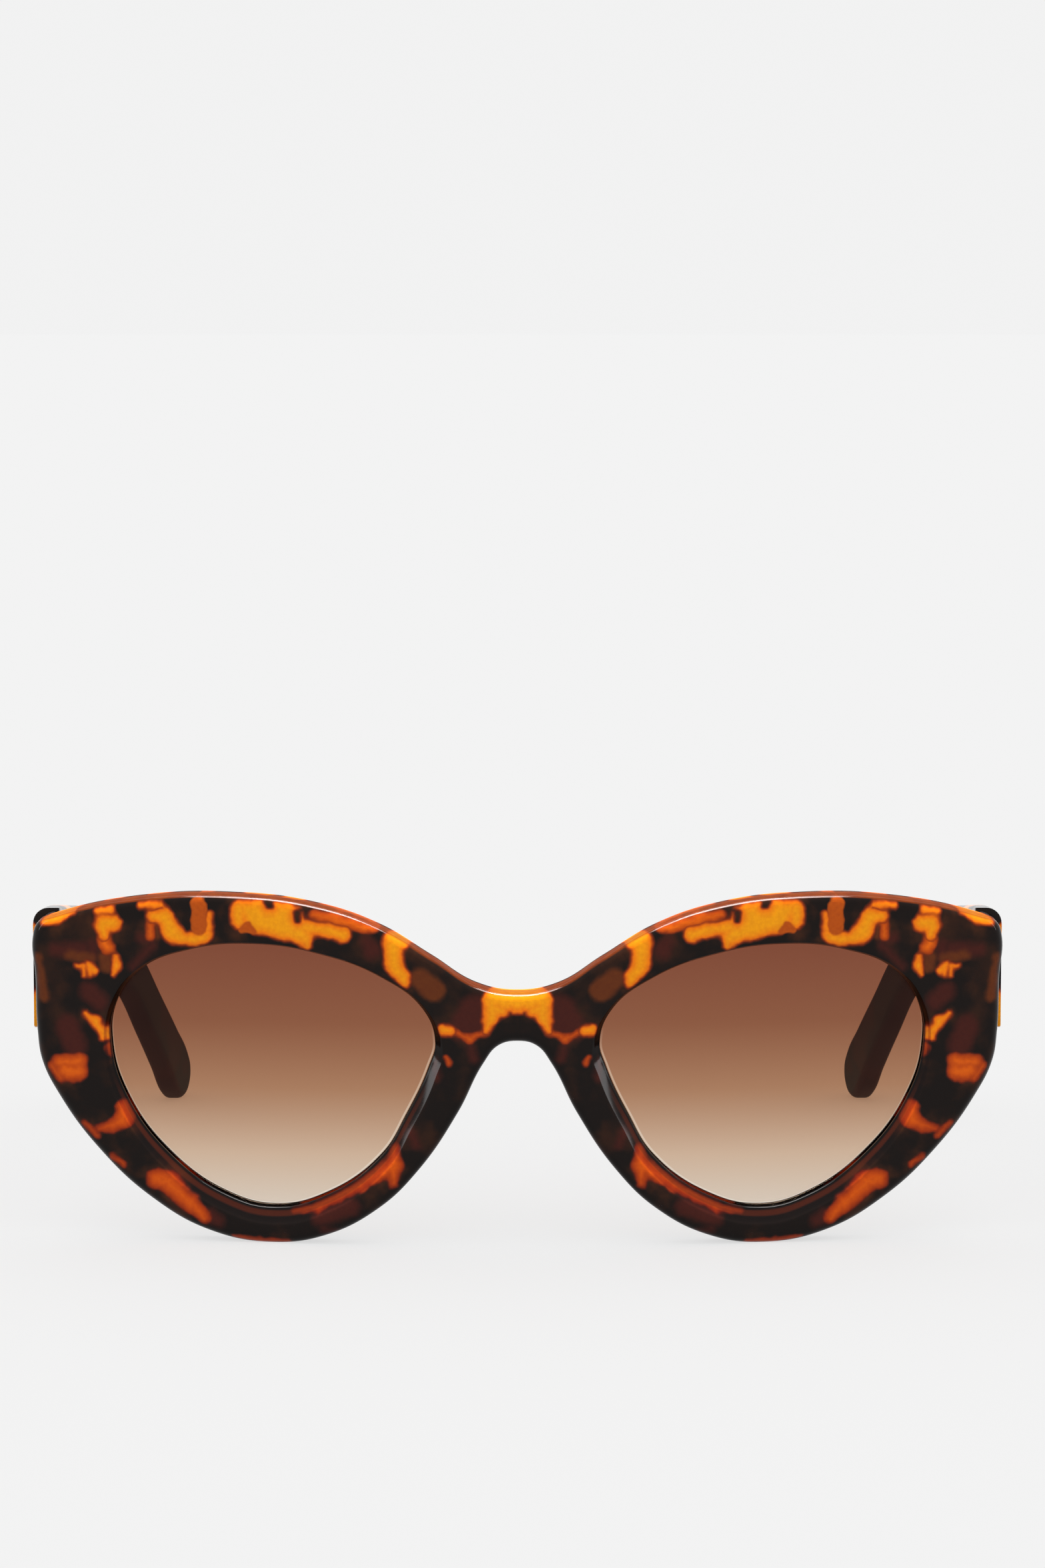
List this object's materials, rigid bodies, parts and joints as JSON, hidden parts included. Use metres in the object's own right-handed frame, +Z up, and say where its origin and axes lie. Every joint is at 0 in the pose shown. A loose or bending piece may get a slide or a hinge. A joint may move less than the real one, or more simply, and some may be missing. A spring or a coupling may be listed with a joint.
{
  "type": "cat eye sunglasses",
  "caption": "Cat-eye sunglasses with a wide tortoiseshell front, gradient brown lenses and tapering temples that fold on metal barrel hinges.",
  "frame": {"origin": "on the surface the glasses stand on, under the middle of their bounding box, midway between the temples", "axes": "+Z up; the front faces -Y and the open temples run towards +Y; +X towards the right-hand end of the front as seen from in front"},
  "size_m": [0.1504, 0.1402, 0.0536],
  "materials": {
    "tortoise": "gloss",
    "lens_tint": "polished",
    "gold_metal": "polished",
    "steel": "polished"
  },
  "bodies": {
    "front": {"front_frame": "tortoise", "lens_right": "lens_tint", "front_hinge_right": "gold_metal", "hinge_screw_right": "steel", "front_rivet_lower_right": "gold_metal", "front_rivet_upper_right": "gold_metal", "lens_left": "lens_tint", "front_hinge_left": "gold_metal", "hinge_screw_left": "steel", "front_rivet_lower_left": "gold_metal", "front_rivet_upper_left": "gold_metal"},
    "right_temple": {"temple_right": "tortoise", "temple_hinge_right": "gold_metal", "temple_rivet_front_right": "gold_metal", "temple_rivet_rear_right": "gold_metal"},
    "left_temple": {"temple_left": "tortoise", "temple_hinge_left": "gold_metal", "temple_rivet_front_left": "gold_metal", "temple_rivet_rear_left": "gold_metal"}
  },
  "joints": [
    {"name": "right_temple_hinge", "type": "hinge", "parent": "front", "child": "right_temple", "pos_m": [0.0692, -0.05195, 0.0384], "axis": [0, 0, 1], "range_deg": [0, 82]},
    {"name": "left_temple_hinge", "type": "hinge", "parent": "front", "child": "left_temple", "pos_m": [-0.0692, -0.05195, 0.0384], "axis": [0, 0, -1], "range_deg": [0, 88]}
  ]
}
